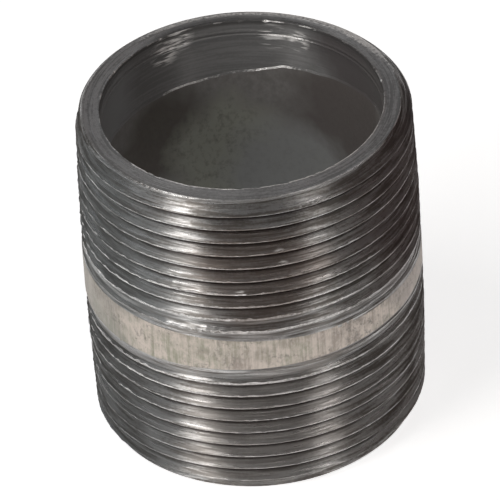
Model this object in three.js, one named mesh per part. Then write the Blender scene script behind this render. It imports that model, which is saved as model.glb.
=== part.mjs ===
// A short steel pipe nipple with a 1-1/2 inch NPT taper thread on each end, 2 inches long.
// Millimetres, +Z up. The origin is the centre of the lower end face.
// The nipple is one length of pipe, so it is one mesh. Its outside is a lathed surface whose
// rows climb one pitch each turn, so that they follow the right-hand helix of the thread.
import * as THREE from "three";
import { mergeVertices } from "three/addons/utils/BufferGeometryUtils.js";

// Driving dimensions
const INCH = 25.4;
const PIPE_RADIUS = (1.9 * INCH) / 2;
const LENGTH = 2 * INCH;
const PITCH = INCH / 11.5;
const TAPER = 1 / 32; // growth of the radius for each unit of length
const FLANK_ANGLE = Math.PI / 6; // between a flank and the plane square to the axis

// Thread section, at the plane of an end face
const PITCH_RADIUS = (1.7961 * INCH) / 2;
const THREAD_HEIGHT = 0.77 * PITCH;
const ROOT_FLAT = 0.056 * PITCH;
const END_CREST_RADIUS = PITCH_RADIUS + THREAD_HEIGHT / 2;
const END_ROOT_RADIUS = PITCH_RADIUS - THREAD_HEIGHT / 2;

// Where each thread lies. The first groove's distance from its own end is taken at angle 0.
const LOWER_GROOVE_AT = 1.42;
const UPPER_GROOVE_AT = 0.48;
const LOWER_THREAD_LENGTH = 22.3;
const UPPER_THREAD_LENGTH = 23.6;
const LENGTH_SKEW = 0.75; // the die stood a little askew: both threads reach further towards +X
const TURNS_BELOW = 2; // whole grooves laid past the lower end, so the helix enters its face cleanly
const TURNS_ABOVE = 3; // and past the upper end
const THROAT_ANGLE = (20 * Math.PI) / 180; // of the die's mouth, whose cone ends the thread

// Ends and bore
const FACE_RADIUS = 22.6; // outer edge of the flat end face, where the 45 degree chamfer starts
const BORE_RADIUS = 19.75;
const MOUTH_RADIUS = 19.95; // the reamed mouth
const MOUTH_DEPTH = 8;
const MOUTH_CHAMFER = 0.1;

// Mesh fineness
const SEGMENTS = 48;
const ROWS_PER_GROOVE = 4;
const SNAP = 0.06; // a row this close to an end face lies on its edge
const LEAST_DEPTH = 0.1; // keeps a groove's floor and crest rows apart where it has run out

// Radius that the crests reach at height z: the taper, stopped by the pipe and the end chamfers.
function crestRadius(z) {
  const fromEnd = Math.min(z, LENGTH - z);
  const tapered = END_CREST_RADIUS + fromEnd * TAPER;
  const chamfered = FACE_RADIUS + fromEnd;
  return Math.min(PIPE_RADIUS, tapered, chamfered);
}

// Radius of the full thread's root at height z.
function rootRadius(z) {
  return END_ROOT_RADIUS + Math.min(z, LENGTH - z) * TAPER;
}

// Radius of the cone that the die's mouth leaves as the floor of the last, imperfect grooves.
function throatRadius(z, angle) {
  const isLower = z < LENGTH / 2;
  const fromEnd = isLower ? z : LENGTH - z;
  const threadLength = isLower ? LOWER_THREAD_LENGTH : UPPER_THREAD_LENGTH;
  const skewed = threadLength + LENGTH_SKEW * Math.cos(angle);
  return PIPE_RADIUS - (skewed - fromEnd) * Math.tan(THROAT_ANGLE);
}

// Heights of the groove centres at angle 0, from below the lower face to above the upper one.
// The step between the two threads takes up the difference of their phases, in the plain band.
function grooveHeights() {
  const lowest = LOWER_GROOVE_AT - TURNS_BELOW * PITCH;
  const highest = LENGTH - UPPER_GROOVE_AT + TURNS_ABOVE * PITCH;
  const heights = [];
  for (let z = lowest; z < LENGTH / 2; z += PITCH) heights.push(z);
  const upper = [];
  for (let z = highest; z > LENGTH / 2; z -= PITCH) upper.unshift(z);
  const clear = upper.filter((z) => z > heights.at(-1) + PITCH / 2);
  return heights.concat(clear);
}

const GROOVES = grooveHeights();

// Height of a groove's centre after part of a turn, from 0 to 1. It climbs to the next groove.
function grooveCentre(groove, turn) {
  return GROOVES[groove] * (1 - turn) + GROOVES[groove + 1] * turn;
}

// Radius of the outside at height z and part of a turn.
function outsideRadius(z, turn) {
  let thread = PIPE_RADIUS;
  for (let groove = 0; groove < GROOVES.length - 1; groove++) {
    const centre = grooveCentre(groove, turn);
    const pastFloor = Math.max(0, Math.abs(z - centre) - ROOT_FLAT / 2);
    const flank = rootRadius(centre) + pastFloor / Math.tan(FLANK_ANGLE);
    thread = Math.min(thread, flank);
  }
  return Math.min(crestRadius(z), Math.max(thread, throatRadius(z, turn * 2 * Math.PI)));
}

// Height of one row: the lower crest edge, the two edges of the floor, or the upper crest edge.
function rowHeight(groove, row, turn) {
  const centre = grooveCentre(groove, turn);
  const root = rootRadius(centre);
  const depth = crestRadius(centre) - root;
  const throat = throatRadius(centre, turn * 2 * Math.PI) - root;
  const floorDepth = Math.min(depth - LEAST_DEPTH, Math.max(0, throat));
  const floorOffset = ROOT_FLAT / 2 + floorDepth * Math.tan(FLANK_ANGLE);
  const crestOffset = ROOT_FLAT / 2 + depth * Math.tan(FLANK_ANGLE);
  const offsets = [-crestOffset, -floorOffset, floorOffset, crestOffset];
  const z = centre + offsets[row];
  if (z < SNAP) return 0;
  if (z > LENGTH - SNAP) return LENGTH;
  return z;
}

// The bore from the upper mouth to the lower one, as [radius, height].
function boreProfile() {
  const ledge = MOUTH_RADIUS - BORE_RADIUS;
  return [
    [MOUTH_RADIUS + MOUTH_CHAMFER, LENGTH],
    [MOUTH_RADIUS, LENGTH - MOUTH_CHAMFER],
    [MOUTH_RADIUS, LENGTH - MOUTH_DEPTH],
    [BORE_RADIUS, LENGTH - MOUTH_DEPTH - ledge],
    [BORE_RADIUS, MOUTH_DEPTH + ledge],
    [MOUTH_RADIUS, MOUTH_DEPTH],
    [MOUTH_RADIUS, MOUTH_CHAMFER],
    [MOUTH_RADIUS + MOUTH_CHAMFER, 0],
  ];
}

// The closed lathe profile: the rows of the outside, then the bore, then the first point again.
// The outside's points only count the rows here. wrapThread gives them their places.
function latheProfile() {
  const rows = (GROOVES.length - 1) * ROWS_PER_GROOVE;
  const points = [];
  for (let row = 0; row < rows; row++) {
    points.push(new THREE.Vector2(PIPE_RADIUS, (LENGTH * row) / rows));
  }
  for (const [radius, z] of boreProfile()) points.push(new THREE.Vector2(radius, z));
  points.push(points[0].clone());
  return points;
}

// Moves each outside vertex of the lathed surface to its row of the thread.
function wrapThread(geometry, profileLength) {
  const position = geometry.getAttribute("position");
  const rows = (GROOVES.length - 1) * ROWS_PER_GROOVE;
  for (let segment = 0; segment <= SEGMENTS; segment++) {
    const turn = segment / SEGMENTS;
    const angle = ((segment % SEGMENTS) / SEGMENTS) * 2 * Math.PI;
    for (let point = 0; point < profileLength; point++) {
      const vertex = segment * profileLength + point;
      const isOutside = point < rows || point === profileLength - 1;
      let radius = Math.hypot(position.getX(vertex), position.getZ(vertex));
      let z = position.getY(vertex);
      if (isOutside) {
        const row = point % (profileLength - 1);
        z = rowHeight(Math.floor(row / ROWS_PER_GROOVE), row % ROWS_PER_GROOVE, turn);
        radius = outsideRadius(z, turn);
      }
      position.setXYZ(vertex, radius * Math.cos(angle), radius * Math.sin(angle), z);
    }
  }
}

// Merges the vertices that meet, and drops the triangles that the end faces squeezed flat.
function closeSurface(geometry) {
  geometry.deleteAttribute("normal");
  geometry.deleteAttribute("uv");
  const merged = mergeVertices(geometry);
  const kept = [];
  const corners = merged.index.array;
  for (let i = 0; i < corners.length; i += 3) {
    const [a, b, c] = [corners[i], corners[i + 1], corners[i + 2]];
    if (a !== b && b !== c && c !== a) kept.push(a, b, c);
  }
  merged.setIndex(kept);
  merged.computeVertexNormals();
  return merged;
}

function makeNipple() {
  const profile = latheProfile();
  const geometry = new THREE.LatheGeometry(profile, SEGMENTS);
  wrapThread(geometry, profile.length);
  const steel = new THREE.MeshStandardMaterial({
    color: 0x6a6865,
    roughness: 0.42,
    metalness: 0.9,
  });
  const nipple = new THREE.Mesh(closeSurface(geometry), steel);
  nipple.name = "nipple";
  return nipple;
}

const part = new THREE.Group();
part.add(makeNipple());

export default part;
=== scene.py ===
"""A short steel pipe nipple with a taper pipe thread on each end, on a plain pale floor.

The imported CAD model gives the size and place. This script replaces its faceted thread with a
fine one that has worn crests, imperfect last grooves, a reamed mouth and a rough bore.
Lengths are in millimetres until a mesh or an object is made, and +Z is up.
"""

import math

import bpy
import numpy as np
from mathutils import Matrix, Vector


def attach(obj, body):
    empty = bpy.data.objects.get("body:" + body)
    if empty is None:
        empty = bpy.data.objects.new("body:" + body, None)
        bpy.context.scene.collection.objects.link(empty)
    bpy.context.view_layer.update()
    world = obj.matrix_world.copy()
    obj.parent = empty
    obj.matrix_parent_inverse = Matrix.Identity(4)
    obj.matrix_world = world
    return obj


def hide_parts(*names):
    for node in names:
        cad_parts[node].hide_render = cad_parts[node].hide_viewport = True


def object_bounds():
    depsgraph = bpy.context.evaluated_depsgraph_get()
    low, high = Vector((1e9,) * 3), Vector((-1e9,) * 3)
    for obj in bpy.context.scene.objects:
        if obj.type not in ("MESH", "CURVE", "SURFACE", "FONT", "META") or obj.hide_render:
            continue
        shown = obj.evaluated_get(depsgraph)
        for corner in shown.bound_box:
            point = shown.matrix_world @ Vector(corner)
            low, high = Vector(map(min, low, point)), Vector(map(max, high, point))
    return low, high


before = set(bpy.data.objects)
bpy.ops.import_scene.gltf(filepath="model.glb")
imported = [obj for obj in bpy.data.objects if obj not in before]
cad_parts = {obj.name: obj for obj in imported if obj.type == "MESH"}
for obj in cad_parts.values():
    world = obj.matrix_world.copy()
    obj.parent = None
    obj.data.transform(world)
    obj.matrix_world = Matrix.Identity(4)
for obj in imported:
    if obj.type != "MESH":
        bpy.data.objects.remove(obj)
CAD_LOW, CAD_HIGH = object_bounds()

# Driving dimensions
MM = 0.001
INCH = 25.4
LENGTH = (CAD_HIGH.z - CAD_LOW.z) / MM
PIPE_RADIUS = (CAD_HIGH.x - CAD_LOW.x) / MM / 2
PITCH = INCH / 11.5
TAPER = 1 / 32
FLANK_SLOPE = math.tan(math.radians(30))
PITCH_RADIUS = 1.7961 * INCH / 2
THREAD_HEIGHT = 0.77 * PITCH
ROOT_FLAT = 0.056 * PITCH
END_CREST_RADIUS = PITCH_RADIUS + THREAD_HEIGHT / 2
END_ROOT_RADIUS = PITCH_RADIUS - THREAD_HEIGHT / 2

# Where each thread lies
LOWER_GROOVE_AT = 1.42
UPPER_GROOVE_AT = 0.48
LOWER_THREAD_LENGTH = 22.3
UPPER_THREAD_LENGTH = 23.6
LENGTH_SKEW = 0.75
TURNS_BELOW = 2  # whole grooves laid past the lower end
TURNS_ABOVE = 3  # and past the upper end
THROAT_SLOPE = math.tan(math.radians(20))

# Ends and bore
FACE_RADIUS = 22.6
FACE_SKEW = 0.5
BORE_SHIFT = -0.2
BORE_RADIUS = 19.75
MOUTH_RADIUS = 19.95
MOUTH_CHAMFER = 0.1
MOUTH_DEPTH = 7.73
MOUTH_DEPTH_SKEW = 1.97
MOUTH_SKEW_TOWARDS = math.radians(150)
LEDGE_STEP = 0.55
LEDGE_STEP_AT = math.radians(69)
LEDGE_STEP_WIDTH = math.radians(10)

# Mesh fineness
COLUMNS = 416
ROWS_PER_GROOVE = 8
CREST_ROWS = (0, ROWS_PER_GROOVE - 1)
FLOOR_ROWS = (2, 3, 4, 5)
LAND = 0.035  # the rows beside a crest's edge lie this far from it
LEAST_DEPTH = 0.12  # keeps a groove's floor and crest rows apart where it has run out
THROAT_GAP = 0.02  # between the rows on each side of the place where the die's throat ends
SNAP = 0.05  # a row this close to an end face lies on its edge
SKIN_DEPTH = 0.004  # metal cut no deeper than this still has the pipe's skin
MERGE_STEP = 0.0005  # points that are this close become one
SHARP_ANGLE = math.radians(22)

# Wear
FULL_TEAR = 0.5  # metal cut this deep tears fully
LEAST_WEAR = 0.012
MOST_WEAR = 0.32
ROOT_SHADE_FREE_END = 3  # the oil and painted shade in the grooves' roots thin out over this length towards each end
DRAGGED_SIDE = math.radians(210)  # where the crests dragged in the die and tore most
CREST_GLINT_SIDE = math.radians(-67)  # where the crests get a painted highlight, in the right lamp's streak
CREST_GLINT_WIDTH = math.radians(9)
OILY_SIDE = math.radians(0)  # where oil dulls the crests
OILY_WIDTH = math.radians(42)
RIM_GLARE_AT = math.radians(40)  # where the end face's rim gets a painted glare
RIM_GLARE_WIDTH = math.radians(24)
SHINY_RIM_TURN = math.radians(10)  # the back of the end face has a painted sheen, turned by this much
MOUTH_SHADE_AT = math.radians(168)  # where the reamed mouth has the most painted shade under its edge
MOUTH_SHADE_WIDTH = math.radians(28)
SCRATCH_GLINT_AT = math.radians(68)  # where the scratch round the mouth has a painted glint
SCRATCH_GLINT_WIDTH = math.radians(9)
LEDGE_BRIGHT_SIDE = math.radians(85)  # the ledge has a painted sheen on this side
LEDGE_BRIGHT_AT = (math.radians(75), math.radians(119))  # and painted glints at these places
LEDGE_BRIGHT_WIDTH = math.radians(9)

# The camera's elevation above the floor, and the direction from the nipple to it
ELEVATION = math.radians(37.144)
VIEW = Vector((0, -math.cos(ELEVATION), math.sin(ELEVATION)))

# Seeds of the geometry's noise. Each noise adds its own to the first.
SEED = 11
LOWER_CREST, UPPER_CREST = 1, 2
FINE_TEARS = 10
TORN_PATCHES = 20
CHIPS = 30
NICKS, BORE_WAVES, LEDGE_WAVES, LEDGE_GLINTS, LIP_GLINTS = range(41, 46)
LINE_CELLS = 8192  # random values along the helix before they repeat

# At each column: the part of a turn, its angle, and from 0 to 1 how much the crests dragged
TURNS = np.linspace(0, 1, COLUMNS + 1)
ANGLES = 2 * np.pi * TURNS
DRAGGED = 0.5 + 0.5 * np.cos(ANGLES - DRAGGED_SIDE)


# ---------------------------------------------------------------- smooth noise for the geometry
def table_noise(at, table):
    """Smooth noise between the values of a table, which repeats."""
    low = np.floor(at).astype(int)
    part = at - low
    part = part * part * (3 - 2 * part)
    return table[low % len(table)] * (1 - part) + table[(low + 1) % len(table)] * part


def line_noise(along, seed, cell):
    """Noise from -1 to 1 along the helix: one random value for each cell of that length."""
    table = np.random.default_rng(SEED + seed).uniform(-1, 1, LINE_CELLS)
    return table_noise(along / cell, table)


def ring_noise(seed, cells):
    """Noise from -1 to 1 at each column round the pipe, with no seam."""
    table = np.random.default_rng(SEED + seed).uniform(-1, 1, cells)
    return table_noise(TURNS * cells, table)


def hump(centre, width):
    """1 at an angle round the pipe, fading smoothly to 0 about two widths to each side."""
    away = np.angle(np.exp(1j * (ANGLES - centre)))
    return np.exp(-((away / width) ** 2))


# ---------------------------------------------------------------- shape of the thread
def from_end(z):
    return np.minimum(z, LENGTH - z)


def crest_radius(z):
    tapered = END_CREST_RADIUS + from_end(z) * TAPER
    chamfered = FACE_RADIUS - FACE_SKEW * np.clip(np.cos(ANGLES), 0, 1) + from_end(z)
    return np.minimum(PIPE_RADIUS, np.minimum(tapered, chamfered))


def root_radius(z):
    return END_ROOT_RADIUS + from_end(z) * TAPER


def thread_length(z):
    """Distance from the nearer end to the place where the die's throat leaves the pipe."""
    length = np.where(z < LENGTH / 2, LOWER_THREAD_LENGTH, UPPER_THREAD_LENGTH)
    return length + LENGTH_SKEW * np.cos(ANGLES)


def throat_radius(z):
    return PIPE_RADIUS - (thread_length(z) - from_end(z)) * THROAT_SLOPE


def groove_heights():
    """Heights of the groove centres at angle 0, from below the lower face to above the upper."""
    lowest = LOWER_GROOVE_AT - TURNS_BELOW * PITCH
    highest = LENGTH - UPPER_GROOVE_AT + TURNS_ABOVE * PITCH
    lower = np.arange(lowest, LENGTH / 2, PITCH)
    upper = np.arange(highest, LENGTH / 2, -PITCH)[::-1]
    return np.concatenate([lower, upper[upper > lower[-1] + PITCH / 2]])


HEIGHTS = groove_heights()


def groove_centre(groove):
    """Height of a groove's centre at each column. Over one turn it climbs to the next groove."""
    return HEIGHTS[groove] * (1 - TURNS) + HEIGHTS[groove + 1] * TURNS


def along_helix(groove):
    """Length round the pipe, along the helix, up to each of a groove's columns."""
    return (groove + TURNS) * 2 * np.pi * PIPE_RADIUS


def outside_radius(z):
    """Radius of the sharp thread at the heights z, one for each column."""
    thread = np.full_like(z, PIPE_RADIUS)
    for groove in range(len(HEIGHTS) - 1):
        centre = groove_centre(groove)
        past_floor = np.maximum(0, np.abs(z - centre) - ROOT_FLAT / 2)
        thread = np.minimum(thread, root_radius(centre) + past_floor / FLANK_SLOPE)
    return np.minimum(crest_radius(z), np.maximum(thread, throat_radius(z)))


def crest_wear(along, seed):
    """Depth torn off a crest: most on the side that dragged in the die, ragged everywhere."""
    chips = line_noise(along, seed, 0.7)
    fine = line_noise(along, seed + FINE_TEARS, 0.35)
    patches = np.clip(line_noise(along, seed + TORN_PATCHES, 12), 0, 1)
    ragged = (0.015 + 0.09 * DRAGGED + 0.06 * patches) * chips
    return np.clip(0.02 + 0.11 * DRAGGED + ragged + 0.03 * fine, LEAST_WEAR, MOST_WEAR)


def cut_share(z):
    """From 0 on the pipe's own skin to 1 where the die has cut deep enough to tear a crest."""
    return np.clip((PIPE_RADIUS - throat_radius(z)) / FULL_TEAR, 0, 1)


def shine_share(z):
    """The same for the bright metal on a crest, which handling has dulled towards both ends."""
    return cut_share(z) * np.clip(0.45 + z / 36, 0, 1) * np.clip(0.62 + (LENGTH - z) / 42, 0, 1)


def tear_share(z):
    """The same for a torn crest. The die's later teeth have cleaned the crests near each end."""
    return cut_share(z) * np.clip(0.35 + from_end(z) / 25, 0, 1)


def groove_rows(groove):
    """The rows of a groove, from the crest below it to the crest above."""
    centre = groove_centre(groove)
    along = along_helix(groove)
    root = root_radius(centre)
    depth = crest_radius(centre) - root
    floor_depth = np.minimum(depth - LEAST_DEPTH, np.maximum(0, throat_radius(centre) - root))
    floor = ROOT_FLAT / 2 + floor_depth * FLANK_SLOPE
    end = thread_length(centre)
    throat_end = np.where(centre < LENGTH / 2, end, LENGTH - end)
    floor_start = centre - floor + THROAT_GAP
    floor_end = centre + floor - THROAT_GAP

    def flank_at(below_crest):
        return ROOT_FLAT / 2 + (depth - below_crest) * FLANK_SLOPE

    lower_wear = tear_share(centre - flank_at(0)) * crest_wear(along, LOWER_CREST)
    upper_wear = tear_share(centre + flank_at(0)) * crest_wear(along, UPPER_CREST)
    return [
        (centre - flank_at(lower_wear) - LAND, lower_wear),
        (centre - flank_at(lower_wear + LAND), 0),
        (centre - floor, 0),
        (np.clip(throat_end - THROAT_GAP, floor_start, floor_end - THROAT_GAP), 0),
        (np.clip(throat_end + THROAT_GAP, floor_start + THROAT_GAP, floor_end), 0),
        (centre + floor, 0),
        (centre + flank_at(upper_wear + LAND), 0),
        (centre + flank_at(upper_wear) + LAND, upper_wear),
    ]


def chip_noise(groove, row):
    """Noise from -1 to 1 along a crest, for the few places where it is freshly chipped."""
    return line_noise(along_helix(groove), CHIPS + row, 1.3)


def outside_grid():
    """Height, radius, depth below the crests, worn edge with painted highlights, and grime: field,
    row and column.
    """
    # Crest brightness: torn bright where the crests dragged, and a painted highlight in the right
    # lamp's streak.
    polish_and_glint = 0.2 + 0.7 * DRAGGED + 0.3 * hump(CREST_GLINT_SIDE, CREST_GLINT_WIDTH)
    # The ends' outer rows: a worn rim with a painted glare at the back right.
    rim = 0.6 + 0.5 * hump(RIM_GLARE_AT, RIM_GLARE_WIDTH)
    rows = []
    for groove in range(len(HEIGHTS) - 1):
        for row, (z, wear) in enumerate(groove_rows(groove)):
            z = np.where(z < SNAP, 0, np.where(z > LENGTH - SNAP, LENGTH, z))
            inside = (z > 0) & (z < LENGTH)
            crest = crest_radius(z)
            radius = np.minimum(outside_radius(z), crest - np.where(inside, wear, 0))
            depth = np.clip(from_end(z) / ROOT_SHADE_FREE_END, 0, 1) * (crest - radius)
            on_crest = row in CREST_ROWS
            on_floor = row in FLOOR_ROWS
            chips = 0.6 * np.clip(5 * chip_noise(groove, row) - 3.6, 0, 1) * DRAGGED
            edge = np.where(inside, shine_share(z) * on_crest * (polish_and_glint + chips), rim)
            grime_and_shade = 0.6 * on_floor * np.clip((radius - root_radius(z)) / 0.4, 0, 1)
            grime_and_shade = grime_and_shade + 0.7 * on_crest * hump(OILY_SIDE, OILY_WIDTH)
            rows.append((z, radius, depth, edge, grime_and_shade))
    return np.array(rows).transpose(1, 0, 2)


# ---------------------------------------------------------------- shape of the ends and bore
# The rows run from the end face to the raw bore. Each one is a radius, a depth below the end
# face, a worn edge with painted highlights, and grime with painted shade. Any of them is a single
# value, or one for each column.
MOUTH_EDGE_ROW = 4  # the last one on the end face
LEDGE_FOOT_ROW = 21  # the last one of the reamed mouth


def lip_width():
    """Width of the small chamfer at the mouth, with its nicks."""
    return MOUTH_CHAMFER + 0.26 * np.clip(ring_noise(NICKS, 190) - 0.25, 0, 1)


def lip_wear_and_glints():
    """How worn and bright the mouth's edge is: painted glints in short stretches."""
    return 0.55 + 0.45 * ring_noise(LIP_GLINTS, 70)


def face_rows():
    """The end face, from its outer part to the mouth, with a painted sheen and glare on its rim
    and painted shade at its back near the mouth.
    """
    front = np.clip(-1.5 * np.sin(ANGLES), 0, 1)
    # Painted shade on the back of the face, near the mouth.
    back = np.clip(2.6 * np.sin(ANGLES) - 1.3, 0, 1)
    # The painted glare at the back right of the rim.
    rim_glare = hump(RIM_GLARE_AT, RIM_GLARE_WIDTH)
    # A painted sheen along the back of the end face.
    shine = 0.9 * np.clip(1.3 * np.sin(ANGLES + SHINY_RIM_TURN) - 0.1, 0, 1)
    shine = np.maximum(shine, 1.05 * rim_glare)
    return [
        (MOUTH_RADIUS + 2.0, 0, shine, 0),
        (MOUTH_RADIUS + 1.55, 0, 0.85 * shine, 0.2 * back),
        (MOUTH_RADIUS + 1.2, 0, 0.55 * rim_glare, 0.5 * back),
        (MOUTH_RADIUS + MOUTH_CHAMFER + 0.3, 0, 0.35 * front, 0.75 * back),
        (MOUTH_RADIUS + lip_width(), 0, lip_wear_and_glints() + 0.5 * front, 0.75 * back),
    ]


def reamed_rows():
    """The reamed wall: painted shade below its upper edge, a shallow ridge and a scratch with a
    painted glint, then plain metal.
    """
    # Painted shade under the mouth's edge: on the back and sides, and most at the left.
    back = np.clip(0.8 + 2.2 * np.sin(ANGLES), 0, 1)
    dull = hump(MOUTH_SHADE_AT, MOUTH_SHADE_WIDTH)
    # The scratch, with a painted glint where it is brightest.
    scratch_and_glint = 0.35 + 0.9 * hump(SCRATCH_GLINT_AT, SCRATCH_GLINT_WIDTH)
    return [
        (MOUTH_RADIUS + 0.03, lip_width(), lip_wear_and_glints(), back),
        (MOUTH_RADIUS + 0.03, 0.45, 0, back),
        (MOUTH_RADIUS - 0.01, 0.6, 0.3, 0.6 * back),
        (MOUTH_RADIUS, 0.85, 0, 0.35 * back + 0.45 * dull),
        (MOUTH_RADIUS + 0.02, 1.5, 0, 0.1 * back + 0.5 * dull),
        (MOUTH_RADIUS - 0.03, 1.7, 0.45, 0),
        (MOUTH_RADIUS - 0.03, 1.9, 0.45, 0),
        (MOUTH_RADIUS, 2.2, 0, 0),
        (MOUTH_RADIUS - 0.01, 2.22, scratch_and_glint, 0),
        (MOUTH_RADIUS - 0.17, 2.38, scratch_and_glint, 0),
        (MOUTH_RADIUS - 0.15, 2.45, 0, 0),
        (MOUTH_RADIUS, 2.9, 0, 0),
        (MOUTH_RADIUS, 3.7, 0, 0),
        (MOUTH_RADIUS, 5.0, 0, 0),
    ]


def ledge_rows():
    """The skewed, ragged ledge where the reamer stopped, with painted glints on its edge, and the
    upper part of the raw bore.
    """
    ledge = MOUTH_DEPTH + MOUTH_DEPTH_SKEW * np.cos(ANGLES - MOUTH_SKEW_TOWARDS)
    ledge = ledge - LEDGE_STEP * hump(LEDGE_STEP_AT, LEDGE_STEP_WIDTH)
    ledge = ledge + 0.08 * ring_noise(LEDGE_WAVES, 90)
    side = np.cos(ANGLES - LEDGE_BRIGHT_SIDE)
    foot = ledge + 0.20 + 0.08 * side
    # The ledge's edge: a painted sheen on one side and painted glints at two places, over ragged
    # brightness.
    edge = 0.42 * np.clip(2 * side, 0, 1) + 0.3 * ring_noise(LEDGE_GLINTS, 23)
    for glint_at in LEDGE_BRIGHT_AT:
        edge = edge + 0.6 * hump(glint_at, LEDGE_BRIGHT_WIDTH)
    bore = BORE_RADIUS + 0.03 * ring_noise(BORE_WAVES, 23)
    return [
        (MOUTH_RADIUS, ledge - 0.05, 0, 0),
        (MOUTH_RADIUS - 0.04, ledge, edge, 0),
        (bore + 0.02, foot, edge, 0),
        (bore, foot + 0.1, 0, 0),
        (bore, ledge + 2.2, 0, 0),
        (bore, ledge + 4.4, 0, 0),
        (bore, ledge + 7, 0, 0),
        (bore, ledge + 10, 0, 0),
    ]


def bore_grid():
    """The fields of outside_grid from the upper end face, down the bore, to the lower face.

    The depth below the crests is 0 there, because only the thread's grooves hold the oil and
    painted shade.
    """
    profile = face_rows() + reamed_rows() + ledge_rows()
    steps = [[item + 0 * TURNS for item in step] for step in profile]
    rows = []
    for radius, depth, edge, grime_and_shade in steps:
        rows.append((LENGTH - depth, radius, 0 * depth, edge, grime_and_shade))
    for radius, depth, edge, grime_and_shade in reversed(steps):
        rows.append((depth, radius, 0 * depth, edge, grime_and_shade))
    return np.array(rows).transpose(1, 0, 2)


# ---------------------------------------------------------------- the mesh
SKIN, CUT, FACE, REAMED, RAW = range(5)
WEAR_AND_PAINTED_LIGHT_FIELDS = ("depth", "edge", "grime_and_shade")


def zone_of_bore_row(row, rows):
    """The finish of the strip between one bore row and the next."""
    half = rows // 2
    step = row if row < half else rows - 2 - row
    if step < MOUTH_EDGE_ROW:
        return FACE
    if step < LEDGE_FOOT_ROW:
        return REAMED
    return RAW


def grid_points(heights, radii, out_rows):
    """Places of the grid's vertices, row by row. The bore's rows lie a little off centre."""
    angle = ANGLES[:COLUMNS]
    shift = np.where(np.arange(len(heights)) < out_rows, 0, BORE_SHIFT)[:, None]
    x = radii * np.cos(angle) + shift
    y = radii * np.sin(angle)
    return np.stack([x, y, heights], axis=-1).reshape(-1, 3) * MM


def vertex_number(row, column, out_rows):
    """A vertex of the grid. Past the last column the helix has climbed one groove's rows."""
    if column < COLUMNS:
        return row * COLUMNS + column
    if row < out_rows:
        row = min(row + ROWS_PER_GROOVE, out_rows - 1)
    return row * COLUMNS


def build_nipple():
    """Points, wear and painted light fields, faces and their finishes, before the end faces'
    points are joined.
    """
    outside, bore = outside_grid(), bore_grid()
    out_rows, in_rows = outside.shape[1], bore.shape[1]
    rows = out_rows + in_rows
    grid = np.concatenate([outside, bore], axis=1)[:, :, :COLUMNS]
    heights, radii = grid[0], grid[1]
    cut = PIPE_RADIUS - radii
    faces, zones = [], []
    for row in range(rows):
        above = (row + 1) % rows
        for column in range(COLUMNS):
            corners = [(row, column), (row, column + 1), (above, column + 1), (above, column)]
            faces.append([vertex_number(*corner, out_rows) for corner in corners])
            if row < out_rows - 1:
                beside = (column + 1) % COLUMNS
                deepest = max(cut[row, column], cut[above, column], cut[row, beside])
                zones.append(SKIN if deepest < SKIN_DEPTH else CUT)
            elif row in (out_rows - 1, rows - 1):
                zones.append(FACE)
            else:
                zones.append(zone_of_bore_row(row - out_rows, in_rows))
    wear = grid[2:].reshape(len(WEAR_AND_PAINTED_LIGHT_FIELDS), -1).T
    return grid_points(heights, radii, out_rows), wear, faces, zones


def merge_points(points, wear, faces, zones):
    """Joins the points that the end faces squeezed together, and drops the faces that vanish."""
    keys = np.round(points / (MERGE_STEP * MM)).astype(np.int64)
    _, first, joined = np.unique(keys, axis=0, return_index=True, return_inverse=True)
    joined = joined.reshape(-1)
    kept_faces, kept_zones = [], []
    for face, zone in zip(faces, zones):
        corners = [joined[corner] for corner in face]
        ring = [c for i, c in enumerate(corners) if c != corners[i - 1]]
        if len(set(ring)) >= 3:
            kept_faces.append(ring)
            kept_zones.append(zone)
    return points[first], wear[first], kept_faces, kept_zones


def make_nipple(materials):
    """The whole nipple as one object, with its finishes in the order of the zones."""
    points, wear, faces, zones = merge_points(*build_nipple())
    mesh = bpy.data.meshes.new("threaded_nipple")
    mesh.from_pydata(points.tolist(), [], faces)
    for number, name in enumerate(WEAR_AND_PAINTED_LIGHT_FIELDS):
        values = np.ascontiguousarray(wear[:, number])
        mesh.attributes.new(name, "FLOAT", "POINT").data.foreach_set("value", values)
    for material in materials:
        mesh.materials.append(material)
    mesh.polygons.foreach_set("material_index", np.array(zones, dtype=np.int32))
    mesh.shade_smooth()
    mesh.set_sharp_from_angle(angle=SHARP_ANGLE)
    nipple = bpy.data.objects.new("threaded_nipple", mesh)
    bpy.context.scene.collection.objects.link(nipple)
    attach(nipple, "root")
    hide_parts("nipple")


# ---------------------------------------------------------------- materials
MIX_A, MIX_B, MIX_COLOUR = 6, 7, 2  # a Mix node's colour sockets, whose names aren't unique


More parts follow.
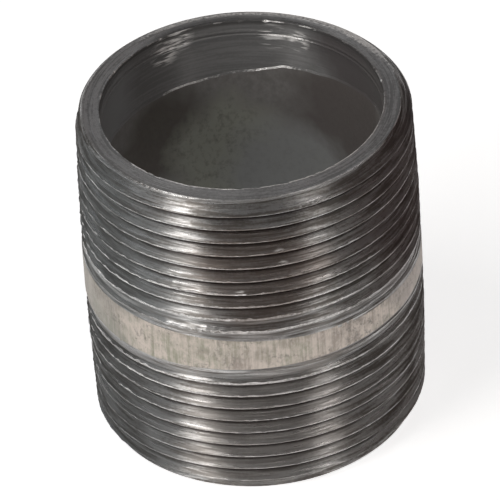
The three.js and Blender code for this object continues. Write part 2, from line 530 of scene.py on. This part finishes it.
class Shader:
    """A material's node tree, with short calls for the few kinds of node used here."""

    def __init__(self, name):
        self.material = bpy.data.materials.new(name)
        self.material.use_nodes = True
        self.tree = self.material.node_tree
        self.surface = self.tree.nodes["Principled BSDF"]
        self.place = self.add("ShaderNodeTexCoord").outputs["Object"]

    def add(self, kind, **settings):
        node = self.tree.nodes.new(kind)
        for name, value in settings.items():
            setattr(node, name, value)
        return node

    def put(self, socket, value):
        """Links a socket to another's output, or sets its own value."""
        if isinstance(value, bpy.types.NodeSocket):
            self.tree.links.new(value, socket)
        else:
            socket.default_value = value

    def set(self, name, value):
        """Sets one of the surface's inputs, by its name."""
        self.put(self.surface.inputs[name], value)

    def stretched(self, x, y, z):
        """The place with each axis scaled, in cells per millimetre."""
        node = self.add("ShaderNodeVectorMath", operation="MULTIPLY")
        self.put(node.inputs[0], self.place)
        node.inputs[1].default_value = (x / MM, y / MM, z / MM)
        return node.outputs[0]

    def maths(self, operation, a, b, c=0.0):
        node = self.add("ShaderNodeMath", operation=operation)
        for socket, value in zip(node.inputs, (a, b, c)):
            self.put(socket, value)
        return node.outputs[0]

    def noise_node(self, vector, detail, roughness=0.5, distortion=0.0):
        node = self.add("ShaderNodeTexNoise")
        self.put(node.inputs["Vector"], vector)
        node.inputs["Scale"].default_value = 1.0
        node.inputs["Detail"].default_value = detail
        node.inputs["Roughness"].default_value = roughness
        node.inputs["Distortion"].default_value = distortion
        return node

    def noise(self, *settings):
        return self.noise_node(*settings).outputs[0]

    def spread(self, value, low, high, to_low=0.0, to_high=1.0):
        """Maps low to to_low and high to to_high, evenly between them and level past them."""
        node = self.add("ShaderNodeMapRange")
        for socket, item in zip(node.inputs, (value, low, high, to_low, to_high)):
            self.put(socket, item)
        return node.outputs[0]

    def blend(self, part, a, b):
        node = self.add("ShaderNodeMix", data_type="RGBA")
        self.put(node.inputs["Factor"], part)
        self.put(node.inputs[MIX_A], a)
        self.put(node.inputs[MIX_B], b)
        return node.outputs[MIX_COLOUR]

    def bump(self, height, distance, under=None):
        """A normal raised by that many millimetres where the height is 1."""
        node = self.add("ShaderNodeBump")
        self.put(node.inputs["Height"], height)
        node.inputs["Distance"].default_value = distance * MM
        if under is not None:
            self.put(node.inputs["Normal"], under)
        return node.outputs[0]

    def tool_lines(self, across, along, detail):
        """Noise drawn out round the pipe: cells per millimetre across the lines and along them."""
        flat = self.add("ShaderNodeVectorMath", operation="MULTIPLY")
        self.put(flat.inputs[0], self.place)
        flat.inputs[1].default_value = (1, 1, 0)
        length = self.add("ShaderNodeVectorMath", operation="LENGTH")
        self.put(length.inputs[0], flat.outputs[0])
        parts = self.add("ShaderNodeSeparateXYZ")
        self.put(parts.inputs[0], self.place)
        joined = self.add("ShaderNodeCombineXYZ")
        self.put(joined.inputs[0], self.maths("MULTIPLY", parts.outputs[0], along / MM))
        self.put(joined.inputs[1], self.maths("MULTIPLY", parts.outputs[1], along / MM))
        self.put(joined.inputs[2], self.maths("MULTIPLY", length.outputs["Value"], across / MM))
        node = self.noise_node(joined.outputs[0], detail, 0.55)
        node.noise_dimensions = "4D"
        self.put(node.inputs["W"], self.maths("MULTIPLY", parts.outputs[2], across / MM))
        return node.outputs[0]

    def nearness(self, angle, depth, size, ragged, radius=BORE_RADIUS):
        """1 near a place on the bore, or on another radius, and 0 past a ragged edge round it."""
        turn = math.radians(angle)
        out = Vector((math.cos(turn), math.sin(turn), 0)) * radius
        node = self.add("ShaderNodeVectorMath", operation="DISTANCE")
        self.put(node.inputs[0], self.place)
        node.inputs[1].default_value = (out + Vector((0, 0, LENGTH - depth))) * MM
        far = self.maths("MULTIPLY", node.outputs["Value"], 1 / (size * MM))
        ragged_far = self.maths("MULTIPLY_ADD", ragged, 1.2, far)
        return self.spread(ragged_far, 1.75, 1.25)

    def marks(self, places, dashes, radius=BORE_RADIUS):
        """1 on the thin dashes near any of the places, and 0 elsewhere."""
        marked = 0.0
        for angle, depth, size in places:
            near = self.nearness(angle, depth, size, dashes, radius)
            there = self.maths("MULTIPLY", near, self.spread(dashes, 0.50, 0.58))
            marked = self.maths("MAXIMUM", marked, there)
        return marked

    def attribute(self, name):
        return self.add("ShaderNodeAttribute", attribute_name=name).outputs["Fac"]

    def brushed_round(self, amount):
        """Draws each highlight out along the pipe, as fine cutter marks round it do."""
        tangent = self.add("ShaderNodeTangent", direction_type="RADIAL", axis="Z")
        self.set("Tangent", tangent.outputs[0])
        self.set("Anisotropic", amount)
        self.set("Anisotropic Rotation", 0.25)


def grey(value, warmth=0.0):
    return (value * (1 + warmth), value, value * (1 - warmth), 1)


# Pale steel for worn edges, bare chips and painted glints; dark colours for grime, oil and painted
# shade.
WORN_AND_GLINT_STEEL = grey(0.80, 0.02)
BARE_AND_GLINT_STEEL = grey(0.95, 0.02)
GRIME_AND_SHADE_COLOUR = grey(0.07, 0.04)
ROOT_OIL_AND_SHADE = (0.034, 0.018, 0.016, 1)
PALE_ZINC = (0.58, 0.51, 0.45, 1)
GREENISH_ZINC = (0.32, 0.31, 0.24, 1)
BROWNISH_ZINC = (0.34, 0.29, 0.25, 1)
ROOT_SHADE_STARTS, ROOT_SHADE_FULL = 1.06, 1.44  # depths below the crests where the oil and painted shade start and are full

# Marks: angle in degrees, depth below the upper end face, size, and a stain's colour. The bore's
# patches of painted shadow and painted light take the place of stains, and also say how strong
# their speckles are.
# Painted glints on the reamed mouth, drawn as short dashes.
MOUTH_GLINT_DASHES = [(122, 2.7, 2.6), (115, 1.3, 2.3), (76, 2.6, 2.3), (65, 2.8, 1.9)]
MOUTH_STAINS = [
    (32, 3, 9, (0.13, 0.118, 0.117, 1)),
    (8, 2, 7, (0.135, 0.125, 0.122, 1)),
    (168, 4, 10, (0.28, 0.285, 0.29, 1)),
]
THREAD_CHIPS = [(-81, 8.7, 0.9), (-80, 10.9, 0.9), (-74, 13.7, 0.8), (-95, 15.6, 1.0)]
THREAD_STAINS = [
    (-18, 10, 14, (0.13, 0.085, 0.08, 1)),
    (-88, 13, 10, (0.33, 0.27, 0.24, 1)),
    (-150, 14, 15, (0.43, 0.44, 0.44, 1)),
    (-88, 40, 13, (0.55, 0.52, 0.50, 1)),
    (-150, 42, 14, (0.34, 0.335, 0.33, 1)),
]
SKIN_STAINS = [(-168, 25, 15, (0.19, 0.185, 0.16, 1)), (-12, 25, 13, (0.31, 0.26, 0.24, 1))]
# The bore's patches: painted shadow (the dark ones) and painted light (the pale ones), tinted
# brown and green.
BORE_SHADE_AND_LIGHT = [
    (126, 17, 8, 0.3, (0.108, 0.096, 0.082, 1)),
    (150, 22, 8, 0.3, (0.115, 0.10, 0.088, 1)),
    (40, 13, 11, 0.15, (0.13, 0.115, 0.108, 1)),
    (98, 23, 9.5, 0.6, (0.29, 0.295, 0.25, 1)),
    (72, 27, 10, 0.12, (0.28, 0.285, 0.28, 1)),
]


def turned_steel(name, dark, light, line_depth, brushed=1.0):
    """Steel fresh from a cutter, with lines round the pipe and ragged edges.

    It gives the steel's clean colour, where it has grime and painted shade, and where it is bright
    with wear and painted highlights. Its finish mixes them.
    """
    shader = Shader(name)
    broad = shader.tool_lines(1.5, 0.06, 2)
    lines = shader.tool_lines(2.7, 0.15, 3)
    stains = shader.noise(shader.stretched(0.10, 0.10, 0.16), 4)
    grit = shader.noise(shader.stretched(2.2, 2.2, 3.5), 4, 0.6)
    tone = shader.maths("MULTIPLY_ADD", broad, 0.4, lines)
    tone = shader.maths("MULTIPLY_ADD", stains, 0.4, tone)
    tone = shader.maths("MULTIPLY_ADD", grit, 0.35, tone)
    clean = shader.blend(shader.spread(tone, 0.98, 1.15), dark, light)
    grimy = shader.maths("MULTIPLY_ADD", grit, 0.6, shader.attribute("grime_and_shade"))
    grimy = shader.spread(grimy, 0.7, 1.1, 0, 0.7)
    edge = shader.attribute("edge")
    bright = shader.spread(shader.maths("MULTIPLY_ADD", grit, 1.1, edge), 1.15, 1.5)
    shader.set("Roughness", shader.spread(lines, 0.40, 0.62, 0.54, 0.27))
    shader.brushed_round(brushed)
    low = shader.bump(broad, line_depth * 2.5)
    normal = shader.bump(lines, line_depth * 2.2, under=low)
    torn = shader.maths("MULTIPLY", edge, grit)
    shader.set("Normal", shader.bump(torn, 0.2, under=normal))
    shader.clean = clean
    shader.grimy = grimy
    shader.bright = bright
    return shader


def wear_and_painted_light_colour(shader):
    """Turned steel's colour with its grime and painted shade, and with its worn edges and painted
    highlights showing bright.
    """
    colour = shader.blend(shader.grimy, shader.clean, GRIME_AND_SHADE_COLOUR)
    return shader.blend(shader.bright, colour, WORN_AND_GLINT_STEEL)


def thread_steel():
    """The cut thread: bare metal, with dark oil and painted shade along the root of each groove.
    """
    shader = turned_steel("thread_steel", grey(0.25, 0.07), grey(0.51, 0.01), 0.07)
    dashes = shader.tool_lines(2.7, 0.5, 2)
    chips_and_glints = shader.marks(THREAD_CHIPS, dashes, PIPE_RADIUS)
    # Where the edge value passes 1: fresh chips, and the painted glare on the rim.
    chips_and_glints = shader.maths("MAXIMUM", chips_and_glints, shader.spread(shader.attribute("edge"), 1.0, 1.25))
    shader.set("Metallic", shader.spread(chips_and_glints, 0, 1, 1, 0.2))
    colour = wear_and_painted_light_colour(shader)
    soft = shader.noise(shader.stretched(0.12, 0.12, 0.2), 3)
    for angle, depth, size, patch_colour in THREAD_STAINS:
        near = shader.nearness(angle, depth, size, soft, PIPE_RADIUS)
        colour = shader.blend(shader.maths("MULTIPLY", near, 0.55), colour, patch_colour)
    # Painted shade, partly oil, in the deepest part of each groove, under each crest.
    root_oil_and_shade = shader.spread(shader.attribute("depth"), ROOT_SHADE_STARTS, ROOT_SHADE_FULL, 0, 0.84)
    colour = shader.blend(root_oil_and_shade, colour, ROOT_OIL_AND_SHADE)
    colour = shader.blend(chips_and_glints, colour, BARE_AND_GLINT_STEEL)
    shader.set("Base Color", colour)
    return shader.material


def end_face():
    """The faced-off end: finely turned, whitened by a painted glare at the back right of its rim.
    """
    shader = turned_steel("end_face", grey(0.44), grey(0.76), 0.025, 0.5)
    shader.set("Metallic", shader.spread(shader.bright, 0, 1, 1, 0.3))
    shader.set("Base Color", wear_and_painted_light_colour(shader))
    return shader.material


def reamed_steel():
    """The reamed mouth: dull, smooth grey with faint rings, soft stains and painted glints in
    bright dashes.
    """
    shader = turned_steel("reamed_mouth", grey(0.185, 0.01), grey(0.235, 0.01), 0.015)
    dashes = shader.tool_lines(2.4, 0.30, 3)
    # Painted glints, drawn as short dashes.
    glint_dashes = shader.marks(MOUTH_GLINT_DASHES, dashes)
    bare = shader.spread(shader.bright, 0, 1, shader.spread(glint_dashes, 0, 1, 0.12, 0.3), 1)
    shader.set("Metallic", bare)
    shader.set("Roughness", shader.spread(bare, 0.3, 1, 0.45, 0.3))
    soft = shader.noise(shader.stretched(0.15, 0.15, 0.15), 3)
    colour = shader.clean
    for angle, depth, size, patch_colour in MOUTH_STAINS:
        colour = shader.blend(shader.nearness(angle, depth, size, soft), colour, patch_colour)
    colour = shader.blend(shader.grimy, colour, GRIME_AND_SHADE_COLOUR)
    # The painted glints, then the worn edges with their painted glints.
    colour = shader.blend(glint_dashes, colour, BARE_AND_GLINT_STEEL)
    colour = shader.blend(shader.bright, colour, BARE_AND_GLINT_STEEL)
    shader.set("Base Color", colour)
    return shader.material


def pipe_skin():
    """The pipe's own skin: weathered zinc with streaks along the pipe, dark pits and scuffs."""
    shader = Shader("pipe_skin")
    streaks = shader.noise(shader.stretched(2.6, 2.6, 0.16), 5, 0.65)
    patches = shader.noise(shader.stretched(0.16, 0.16, 0.3), 3)
    mottle = shader.noise(shader.stretched(0.7, 0.7, 0.5), 5, 0.7)
    tint = shader.noise(shader.stretched(0.08, 0.08, 0.2), 2)
    pits = shader.noise(shader.stretched(1.3, 1.3, 1.1), 5, 0.7)
    scuffs = shader.noise(shader.stretched(0.9, 0.9, 0.7), 5, 0.7, 1.5)
    crowded = shader.spread(shader.noise(shader.stretched(0.13, 0.13, 0.3), 2), 0.44, 0.60)
    tone = shader.maths("MULTIPLY_ADD", streaks, 0.4, shader.maths("MULTIPLY", patches, 0.25))
    tone = shader.maths("MULTIPLY_ADD", mottle, 0.45, tone)
    dull = shader.blend(shader.spread(tint, 0.42, 0.58), GREENISH_ZINC, BROWNISH_ZINC)
    base = shader.blend(shader.spread(tone, 0.48, 0.61), dull, PALE_ZINC)
    for angle, depth, size, patch_colour in SKIN_STAINS:
        near = shader.nearness(angle, depth, size, patches, PIPE_RADIUS)
        base = shader.blend(shader.maths("MULTIPLY", near, 0.6), base, patch_colour)
    dark = shader.spread(shader.maths("MULTIPLY_ADD", crowded, 0.10, pits), 0.60, 0.72, 0, 0.55)
    worn = shader.maths("MULTIPLY", crowded, shader.spread(scuffs, 0.53, 0.62, 0, 0.7))
    colour = shader.blend(dark, base, grey(0.13, 0.1))
    shader.set("Base Color", shader.blend(worn, colour, grey(0.20, 0.1)))
    shader.set("Metallic", 0.1)
    shader.set("Roughness", shader.spread(patches, 0.3, 0.7, 0.45, 0.62))
    grain = shader.bump(streaks, 0.04)
    shader.set("Normal", shader.bump(dark, -0.05, under=grain))
    return shader.material


def raw_bore():
    """The pipe's inside as it was rolled: dull grey scale with a few broad soft patches of painted
    shadow and painted light.
    """
    shader = Shader("raw_bore")
    broad = shader.noise(shader.stretched(0.10, 0.10, 0.10), 3, 0.6, 0.5)
    mottle = shader.noise(shader.stretched(1.2, 1.2, 1.0), 5, 0.65)
    colour = shader.blend(shader.spread(mottle, 0.35, 0.7), grey(0.17, 0.05), grey(0.24, 0.04))
    # Patches of painted shadow and painted light, each with dark speckles.
    for angle, depth, size, speckles, patch_colour in BORE_SHADE_AND_LIGHT:
        near = shader.nearness(angle, depth, size, broad)
        dots = shader.spread(mottle, 0.50, 0.72, 0, speckles)
        speckled = shader.blend(dots, patch_colour, grey(0.09, 0.05))
        colour = shader.blend(near, colour, speckled)
    shader.set("Base Color", colour)
    shader.set("Metallic", 0.15)
    shader.set("Roughness", shader.spread(mottle, 0.3, 0.7, 0.5, 0.7))
    shader.set("Normal", shader.bump(mottle, 0.08))
    return shader.material


# ---------------------------------------------------------------- the scene round the nipple
# Lengths here are in metres.
FLOOR_HALF = 3.0
LAMP_DISTANCE = 0.8
WARM_LIGHT = (1, 0.97, 0.94)
COOL_LIGHT = (0.97, 0.98, 1.0)
LEFT_ROOM = (0.21, 0.22, 0.225, 1)
RIGHT_ROOM = (0.09, 0.07, 0.065, 1)

# Each lamp's name, the angle of its streak, its rise, width, length, brightness and colour
LAMPS = [
    ("left_strip", -115, 48, 0.22, 1.0, 4.0, WARM_LIGHT),
    ("right_strip", -67.5, 48, 0.10, 1.0, 2.5, WARM_LIGHT),
    ("left_fill", -128, 45, 0.4, 0.7, 0.25, COOL_LIGHT),
]

CAMERA_DISTANCE = 1.0247
CAMERA_ROLL = math.radians(-3.738)
AIM_LEFT = 0.321 * MM  # of the nipple's middle
AIM_BELOW = 0.377 * MM
LENS = 518.8  # millimetres, for a sensor 36 mm wide


def make_floor():
    signs = [(-1, -1), (1, -1), (1, 1), (-1, 1)]
    corners = [(FLOOR_HALF * x, FLOOR_HALF * y, 0) for x, y in signs]
    mesh = bpy.data.meshes.new("floor")
    mesh.from_pydata(corners, [], [(0, 1, 2, 3)])
    shader = Shader("pale_floor")
    shader.set("Base Color", (0.93, 0.93, 0.93, 1))
    shader.set("Roughness", 0.9)
    shader.set("Specular IOR Level", 0.1)
    shader.set("Emission Color", (1, 1, 1, 1))
    shader.set("Emission Strength", 0.68)
    mesh.materials.append(shader.material)
    floor = bpy.data.objects.new("floor", mesh)
    bpy.context.scene.collection.objects.link(floor)


def soft_box(name, streak_angle, rise, width, length, brightness, colour):
    """A lamp placed so that its streak runs down the pipe at that angle.

    It lies in the plane that mirrors the camera there, and rise is its angle above the floor
    in that plane. Its short side is across the plane.
    """
    turn = math.radians(streak_angle)
    out = Vector((math.cos(turn), math.sin(turn), 0))
    across = Vector((-math.sin(turn), math.cos(turn), 0))
    sideways = -VIEW.dot(across)
    lift = math.radians(rise)
    in_plane = math.cos(lift) * out + math.sin(lift) * Vector((0, 0, 1))
    back = sideways * across + math.sqrt(1 - sideways**2) * in_plane
    up = back.cross(across).normalized()
    side = up.cross(back)
    data = bpy.data.lights.new(name, "AREA")
    data.shape = "RECTANGLE"
    data.size = width
    data.size_y = length
    data.energy = brightness * math.pi * width * length
    data.color = colour
    lamp = bpy.data.objects.new(name, data)
    near = PIPE_RADIUS * MM * out + Vector((0, 0, LENGTH * MM / 2))
    axes = Matrix((side, up, back)).transposed().to_4x4()
    lamp.matrix_world = Matrix.Translation(near + back * LAMP_DISTANCE) @ axes
    bpy.context.scene.collection.objects.link(lamp)


def make_world():
    """A dim room, cool and paler on the left, warm and darker on the right."""
    world = bpy.data.worlds.new("studio")
    world.use_nodes = True
    nodes, links = world.node_tree.nodes, world.node_tree.links
    place = nodes.new("ShaderNodeTexCoord")
    parts = nodes.new("ShaderNodeSeparateXYZ")
    links.new(place.outputs["Generated"], parts.inputs[0])
    ramp = nodes.new("ShaderNodeMapRange")
    links.new(parts.outputs["X"], ramp.inputs["Value"])
    ramp.inputs["From Min"].default_value = -0.8
    ramp.inputs["From Max"].default_value = 0.8
    mix = nodes.new("ShaderNodeMix")
    mix.data_type = "RGBA"
    links.new(ramp.outputs[0], mix.inputs["Factor"])
    mix.inputs[MIX_A].default_value = LEFT_ROOM
    mix.inputs[MIX_B].default_value = RIGHT_ROOM
    links.new(mix.outputs[MIX_COLOUR], nodes["Background"].inputs["Color"])
    bpy.context.scene.world = world


def light_scene():
    make_world()
    bpy.context.scene.view_settings.view_transform = "Standard"
    for lamp in LAMPS:
        soft_box(*lamp)


def place_camera():
    """A long lens that looks down from the front, rolled a little to one side."""
    level_up = Vector((0, math.sin(ELEVATION), math.cos(ELEVATION)))
    level_right = Vector((1, 0, 0))
    right = math.cos(CAMERA_ROLL) * level_right + math.sin(CAMERA_ROLL) * level_up
    up = math.cos(CAMERA_ROLL) * level_up - math.sin(CAMERA_ROLL) * level_right
    middle = Vector((0, 0, LENGTH * MM / 2))
    aim = middle - AIM_LEFT * right - AIM_BELOW * up
    data = bpy.data.cameras.new("camera")
    data.lens = LENS
    data.sensor_width = 36
    data.clip_start = 0.05
    data.clip_end = 20
    camera = bpy.data.objects.new("camera", data)
    turn = Matrix((right, up, VIEW)).transposed().to_4x4()
    camera.matrix_world = Matrix.Translation(aim + VIEW * CAMERA_DISTANCE) @ turn
    bpy.context.scene.collection.objects.link(camera)
    bpy.context.scene.camera = camera


# The finishes are in the order of SKIN, CUT, FACE, REAMED and RAW.
make_nipple([pipe_skin(), thread_steel(), end_face(), reamed_steel(), raw_bore()])
make_floor()
light_scene()
place_camera()
